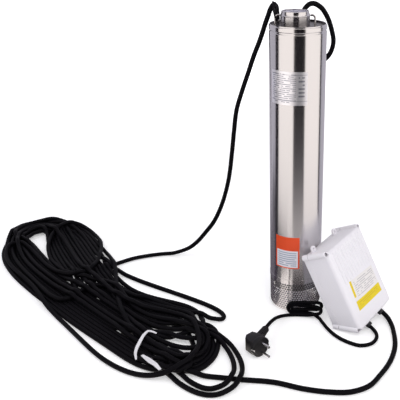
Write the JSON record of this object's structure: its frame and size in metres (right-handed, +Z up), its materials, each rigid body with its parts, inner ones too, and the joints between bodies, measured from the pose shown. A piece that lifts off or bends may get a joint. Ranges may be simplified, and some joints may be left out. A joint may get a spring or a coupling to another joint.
{
  "type": "borehole submersible pump",
  "caption": "Borehole submersible pump: slim stainless cylinder with strainer foot and threaded outlet, white control box, coiled rubber cable and mains lead with angled plug.",
  "frame": {"origin": "centre of the strainer's flat foot, on the floor", "axes": "+Z up the shaft to the outlet, -Y towards the front of the pump, +X to the control box"},
  "size_m": [0.9043, 0.6373, 0.5713],
  "materials": {
    "stainless": "satin",
    "bright_steel": "bright",
    "core_steel": "satin",
    "cast_iron": "matte",
    "brass": "satin",
    "stage_plastic": "matte",
    "seal_black": "matte",
    "gland_plastic": "matte",
    "box_white": "satin",
    "capacitor_case": "satin",
    "cord_rubber": "satin",
    "tie_white": "matte"
  },
  "bodies": {
    "pump": {"strainer": "stainless", "outer_shell": "stainless", "discharge_head": "stainless", "eyelet_left": "stainless", "eyelet_right": "stainless", "motor_can": "stainless", "strainer_screws": "bright_steel", "lower_bearing": "bright_steel", "upper_bearing": "bright_steel", "cover_screws": "bright_steel", "plug_pins": "bright_steel", "plug_earth_clips": "bright_steel", "stator": "core_steel", "suction_plate": "cast_iron", "motor_flange": "cast_iron", "motor_cap": "cast_iron", "bottom_bush": "brass", "winding_lower": "brass", "winding_upper": "brass", "diffuser_1": "stage_plastic", "diffuser_2": "stage_plastic", "diffuser_3": "stage_plastic", "diffuser_4": "stage_plastic", "diffuser_5": "stage_plastic", "diffuser_6": "stage_plastic", "seal_seat": "seal_black", "head_o_ring": "seal_black", "gland_seal": "seal_black", "cover_gasket": "seal_black", "gland_body": "gland_plastic", "gland_nut": "gland_plastic", "box_gland_pump": "gland_plastic", "box_gland_mains": "gland_plastic", "box_base": "box_white", "box_cover": "box_white", "terminal_block": "box_white", "capacitor": "capacitor_case", "inner_lead": "cord_rubber", "cable_upper": "cord_rubber", "cable_hank": "cord_rubber", "cable_lower": "cord_rubber", "lead_plug_side": "cord_rubber", "lead_hank": "cord_rubber", "lead_box_side": "cord_rubber", "plug_body": "cord_rubber", "plug_relief": "cord_rubber", "hank_tie": "tie_white"},
    "rotor": {"shaft": "bright_steel", "rotor_core": "core_steel", "shaft_nut": "bright_steel", "seal_ring": "seal_black", "impeller_1": "stage_plastic", "impeller_2": "stage_plastic", "impeller_3": "stage_plastic", "impeller_4": "stage_plastic", "impeller_5": "stage_plastic", "impeller_6": "stage_plastic"}
  },
  "joints": [
    {"name": "rotor_spin", "type": "hinge", "parent": "pump", "child": "rotor", "pos_m": [0, 0, 0], "axis": [0, 0, 1], "continuous": true}
  ]
}
